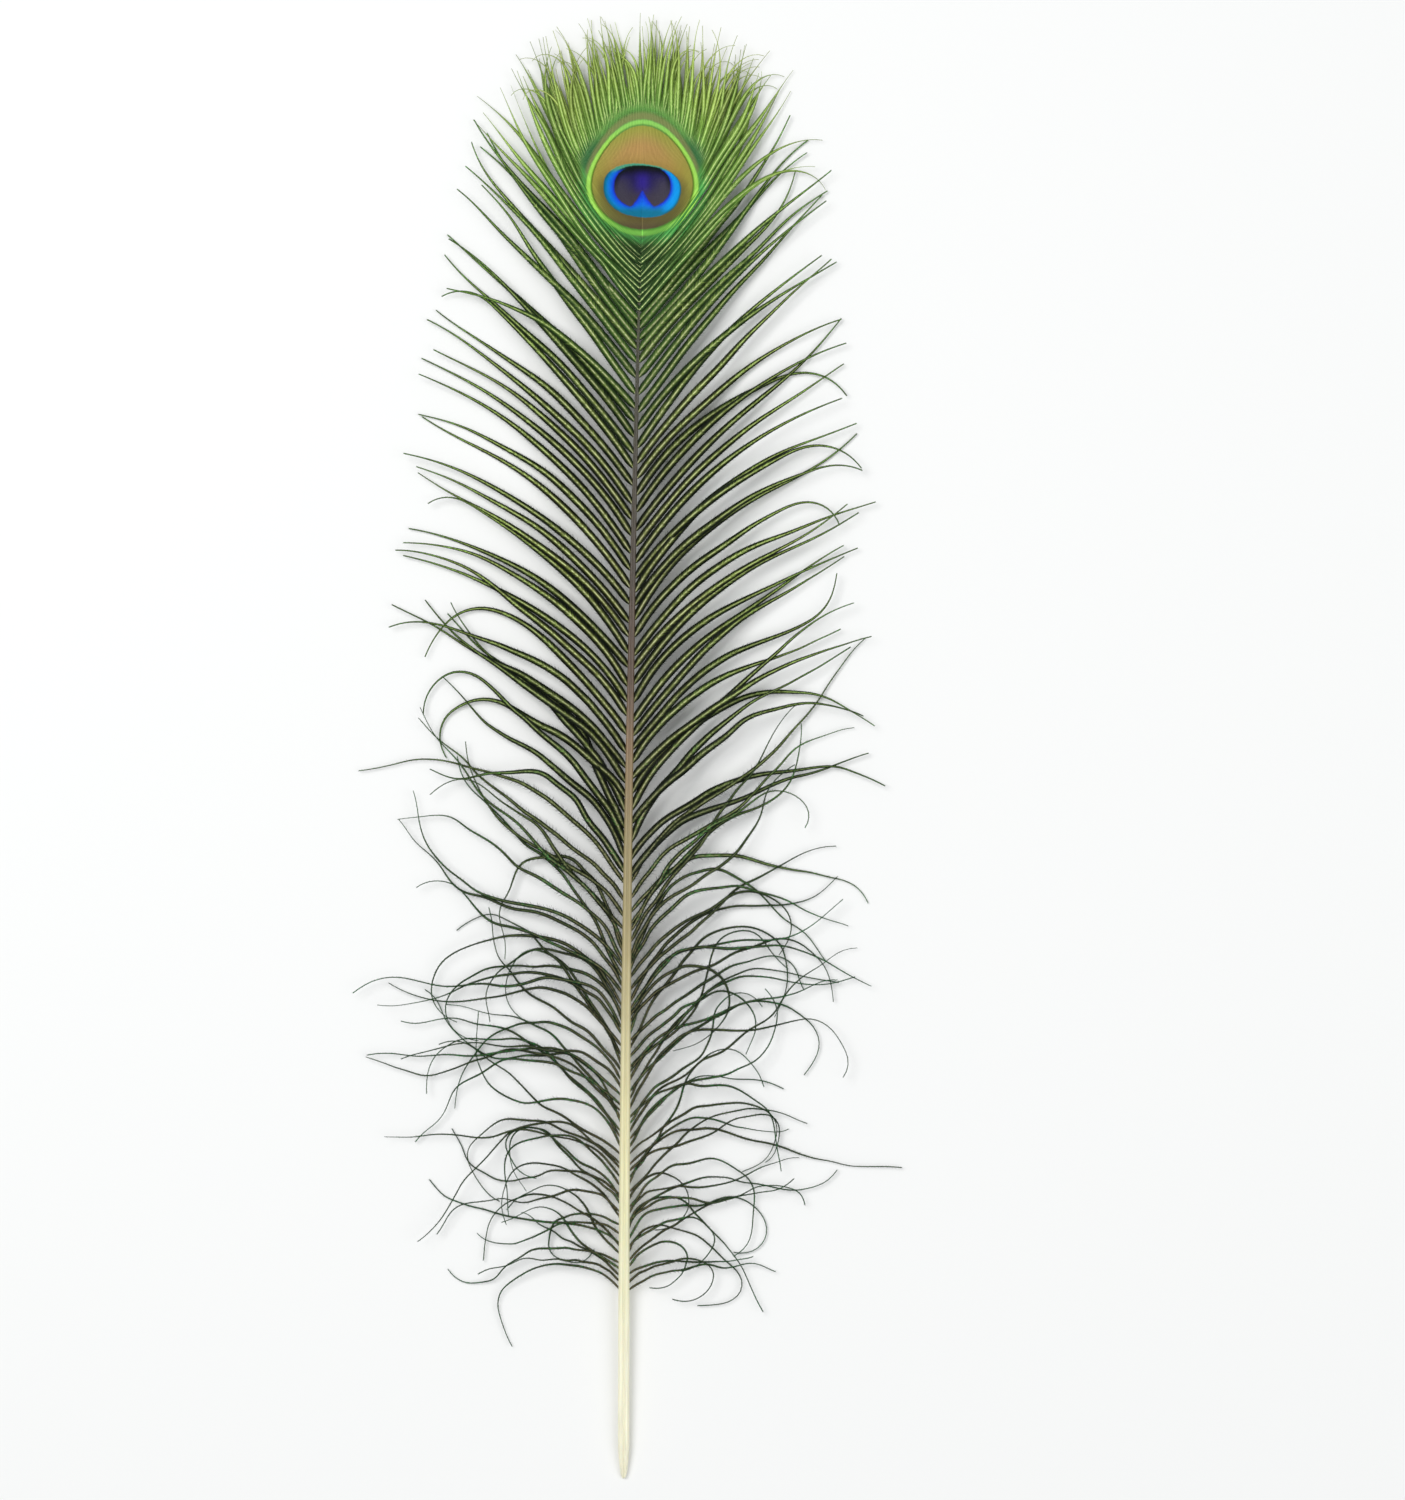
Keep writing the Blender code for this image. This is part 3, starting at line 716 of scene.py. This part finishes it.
def herl_keratin(name):
    """Herl from the vane's top to its wisps, as one material that darkens down the shaft."""
    made, tree, shader = shader_with(name)
    at = barb_readings(tree, ("along", "row", "run", "own", "below", "sided"))
    limp = (at["below"], 105.0, 185.0)
    fringe = painted(tree, add(tree, "ShaderNodeValToRGB", {0: at["along"]}, stops=[
        (0.0, "#1b1e10"), (0.35, "#202912"), (0.7, "#2f451c"), (0.9, "#41682a"), (1.0, "#38602c")]), [
        ("#3a5c26", [(at["below"], 75.0, 28.0, 0.0, 0.9)]),
        ("#33291c", [(at["own"], 0.7, 0.95, 0.0, 0.45)]),
        (add(tree, "ShaderNodeValToRGB", {0: at["along"]}, stops=[
            (0.0, "#2c2a1a"), (0.25, "#1a2014"), (0.6, "#152614"), (1.0, "#1c4424")]), [limp]),
        ("#46503a", [limp, (at["own"], 0.3, 0.0, 0.0, 0.7)])])
    # painted glints: gold-green where a barbule would catch the light, olive and emerald on the limp wisps
    painted_glint_colour = painted(tree, add(tree, "ShaderNodeValToRGB", {0: at["along"]}, stops=[
        (0.0, "#646a3c"), (0.35, "#84984a"), (0.7, "#90b052"), (0.9, "#8acc5c"), (1.0, "#70b862")]), [
        (painted(tree, colour("#68744c"), [("#2f8a48", [(at["own"], 0.35, 0.65)])]), [limp])])
    # the ramus is pale, and painted dashes of reflection off the barbule roots make it a dashed line
    rib = painted(tree, add(tree, "ShaderNodeValToRGB", {0: at["along"]}, stops=[
        (0.0, "#a09e7c"), (0.3, "#b9c088"), (0.75, "#acc070"), (1.0, "#78a450")]), [
        (add(tree, "ShaderNodeValToRGB", {0: at["along"]}, stops=[
            (0.0, "#7a6e50"), (0.25, "#645e42"), (0.6, "#4c5a3a"), (1.0, "#2c6a3c")]), [limp])])
    olive = painted(tree, colour("#68702f"), [
        ("#6f8f40", [(at["below"], 75.0, 28.0, 0.0, 0.8)]), ("#2c3a22", [limp])])
    coloured = painted(tree, fringe, [
        (olive, [(at["tipward"], 0.4, 0.04, 0.0, 0.85)]),
        (painted_glint_colour, [(at["painted_glint"], 0.6, 0.95, 0.0, 0.9), (at["shine"], 0.4, 0.66, 0.1, 1.0), (
            at["tipward"], 0.75, 0.3, 0.25, 1.0)]),
        ("#12180b", [(at["tipward"], 0.16, 0.5, 0.0, 0.8), (at["below"], 30.0, 75.0)]),
        ("#0c1208", [(at["tipward"], 0.45, 1.0, 0.0, 0.7)]),
        (rib, [(at["tipward"], 0.16, 0.03), (at["painted_dash"], 0.2, 0.5, 0.15, 1.0)])])
    # painted glints lighten and darken each barbule, and each barb's own tone varies
    toned(tree, shader, coloured, [(at["painted_glint"], 0.0, 1.0, 0.7, 1.3), (at["own"], 0.0, 1.0, 0.8, 1.2)])
    shader.inputs["Roughness"].default_value = 0.45
    shader.inputs["Specular IOR Level"].default_value = 0.15
    return made


def herl_barbs(side, belows, rng):
    """Lines of loose barbs and what grows on them: stiff and thick at first, limp and thin on the quill."""
    lines, values = [], {key: [] for key in (
        "half_width", "barbule", "twist", "fullness", "along", "run", "row", "own", "below")}
    sway = np.interp(belows, np.arange(20, 260, 8), rng.normal(0, 1, 30))
    middles = clumped(len(belows), rng, 1, 4)
    for row, below in enumerate(belows):
        limp, thin = smoothstep(95, 185, below), smoothstep(120, 225, below)
        middle = np.interp(middles[row], np.arange(len(belows)), belows)
        aim = below + (middle - below) * rng.uniform(0.0, 0.7)
        out, up = (np.interp(aim, TIPS[:, 0], TIPS[:, k]) for k in (1, 2))
        out, up = out + rng.normal(0, 1.5 + 3 * limp), up + rng.normal(0, 2.0) + limp * rng.uniform(-9, 18)
        out *= 1 - 0.25 * limp * rng.uniform(0, 1)
        tip = np.array((shaft_x(EYE_Y + up * MM) + side * out * MM, EYE_Y + up * MM))
        far = math.hypot(out, up + below)
        leave = np.interp(below, LEAVE[:, 0], LEAVE[:, 1]) + rng.normal(0, 1.5 + 9 * limp)
        flat, u, z = barb(side, below, tip, leave, 0.46 * far, 0.02, rng.uniform(0.7, 1.25), HERL_POINTS)
        # it sways with its neighbours, bends and waves by itself, and may curl at its end
        bend = (0.05 + 0.1 * limp) * sway[row] + rng.normal(0, 0.06 + 0.3 * limp)
        hooks = rng.uniform() < 0.35 + 0.4 * limp
        hook = rng.uniform(-1.1, 1.7) * (1 + 1.0 * limp) if hooks else rng.normal(0, 0.15)
        starts = rng.uniform(0.65, 0.85) - 0.35 * limp * rng.uniform(0, 1)
        wave = rng.uniform(0.03, 0.1) + limp * rng.uniform(0.1, 0.75)
        ripple = rng.uniform(0.0, 0.04) + limp * rng.uniform(0.0, 0.22)
        phase, rate = rng.uniform(0, 6.3), rng.uniform(4, 9)
        angles = side * (bend * u + hook * smoothstep(starts, 1.1, u))
        angles = angles + wave * u ** 0.7 * np.sin(rate * u + phase)
        angles = angles + ripple * u ** 0.5 * np.sin((2.7 + 1.5 * limp) * rate * u + 2 * phase)
        angles = angles + limp * 0.09 * np.interp(u, np.linspace(0, 1, BENDS), rng.normal(0, 1, BENDS))
        flat = turned(flat, angles)
        rise = rng.uniform(0, 3.0) * u * smoothstep(0, 1, u)
        rise = rise + limp * rng.uniform(0, 1.8) * np.sin(math.pi * u) ** 2
        z = z + (0.05 + 0.35 * smoothstep(0, 0.8, u) + rise) * MM
        firm, soft = 1 - smoothstep(0.32, 1.02, u), 1 - smoothstep(0.3, 1.0, u)
        rooted = smoothstep(-0.03, 0.04, u)
        turn = (0.1 + 0.35 * u + 0.3 * limp) * np.sin(rng.uniform(4, 10) * u + rng.uniform(0, 6.3))
        turn = turn + rng.normal(0, 0.12)
        lines.append(np.column_stack([flat, z]))
        values["half_width"].append(
            ((1 - thin) * (0.04 + 0.08 * (1 - u) * firm + 0.04 * firm) + thin * (0.05 + 0.05 * soft)) * MM)
        values["barbule"].append(
            ((1 - thin) * (0.3 + 1.6 * firm) + thin * (0.36 + 0.5 * soft)) * rooted * MM)
        values["twist"].append(turn)
        for key, value in (("fullness", 1.0), ("row", row), ("own", rng.uniform(0, 1)), ("below", below)):
            values[key].append(np.full(len(u), value))
        values["along"].append(u)
        values["run"].append(u * far)
    return lines, values


# Herl keratin: dark with melanin, so it looks black-green in shade, with painted gold-green glints where a
# barbule's flat side would catch the light.
herl = herl_keratin("herl_barbule_keratin")
for side, word in ((-1, "left"), (1, "right")):
    rng = np.random.default_rng(31 + side)
    belows = rows_between(EYE_END / MM + GROUP_GAP, VANE_END / MM, rng, 0.2)
    lines, values = herl_barbs(side, belows, rng)
    vane = grown(f"vane_barbs_{word}", line_mesh("vane_lines", lines, values), BARBS, {
        "Barbule Spacing": 0.125 * MM, "Barbule Width": 0.14 * MM, "Sweep": math.radians(38),
        "Lift": math.radians(6), "Looseness": math.radians(8), "Ribbon Share": 0.74, "Flatness": 0.6,
        "Rows": float(len(belows)), "Seed": 7 + side, "Material": herl})
    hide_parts(f"vane_{word}")
    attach(vane, "root")

# ---------------------------------------------------------------------------------------------
# The wisps. Towards the quill the barbs are limp and thin, and wander, cross and curl. They are
# the same keratin, darker and duller, with short soft barbules.

DOWN_END = 240.0 * MM

# The herl's keratin again, duller, since limp barbules lie every way and show no flat side.
wisp = herl_keratin("wisp_barbule_keratin")
wisp.node_tree.nodes["Principled BSDF"].inputs["Roughness"].default_value = 0.55
for side, word in ((-1, "left"), (1, "right")):
    rng = np.random.default_rng(51 + side)
    belows = rows_between(VANE_END / MM + GROUP_GAP, DOWN_END / MM, rng, 0.4)
    lines, values = herl_barbs(side, belows, rng)
    down = grown(f"down_barbs_{word}", line_mesh("down_lines", lines, values), BARBS, {
        "Barbule Spacing": 0.23 * MM, "Barbule Width": 0.12 * MM, "Sweep": math.radians(46),
        "Lift": math.radians(10), "Looseness": math.radians(24), "Ribbon Share": 0.42, "Flatness": 0.8,
        "Rows": float(len(belows)), "Seed": 13 + side, "Material": wisp})
    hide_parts(f"down_{word}")
    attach(down, "root")

# ---------------------------------------------------------------------------------------------
# The surface that the feather lies on: a plain sheet of pale card, and soft studio light from
# large panels overhead.

FLOOR_REACH = 3.0                 # from the middle to an edge

# Pressed paper card, matt and nearly white.
card, tree, shader = shader_with("pale_card")
shader.inputs["Base Color"].default_value = colour("#f2f2f0")
shader.inputs["Roughness"].default_value = 0.9
mesh = bpy.data.meshes.new("floor")
corners = [(x * FLOOR_REACH, y * FLOOR_REACH, 0) for x, y in ((-1, -1), (1, -1), (1, 1), (-1, 1))]
mesh.from_pydata(corners, [], [(0, 1, 2, 3)])
mesh.materials.append(card)
floor = bpy.data.objects.new("floor", mesh)
bpy.context.collection.objects.link(floor)

world = bpy.data.worlds.new("studio")
bpy.context.scene.world = world
world.use_nodes = True
world.node_tree.nodes["Background"].inputs["Color"].default_value = colour("#f4f7fb")
world.node_tree.nodes["Background"].inputs["Strength"].default_value = 0.45
for name, place, side_length, power in (
        ("key", (-0.5, 0.35, 1.1), 0.7, 9.5), ("fill", (0.7, -0.2, 1.0), 0.9, 4.6)):
    light = bpy.data.lights.new(name, "AREA")
    light.shape = "SQUARE"
    light.size = side_length
    light.energy = power
    lamp = bpy.data.objects.new(name, light)
    lamp.location = place
    lamp.rotation_euler = (-Vector(place)).to_track_quat("-Z", "Y").to_euler()
    bpy.context.collection.objects.link(lamp)

# The camera looks straight down on the feather, which lies a little left of the frame's middle.
FRAME_HEIGHT = 0.327
LENS = 100.0
SENSOR = 36.0
CAMERA_X = 0.0165
camera = bpy.data.objects.new("camera", bpy.data.cameras.new("camera"))
camera.data.lens = LENS
camera.data.sensor_width = SENSOR
camera.data.clip_end = 20.0
camera.location = (CAMERA_X, 0.0, FRAME_HEIGHT * LENS / SENSOR)
bpy.context.collection.objects.link(camera)
bpy.context.scene.camera = camera
bpy.context.scene.view_settings.view_transform = "Standard"
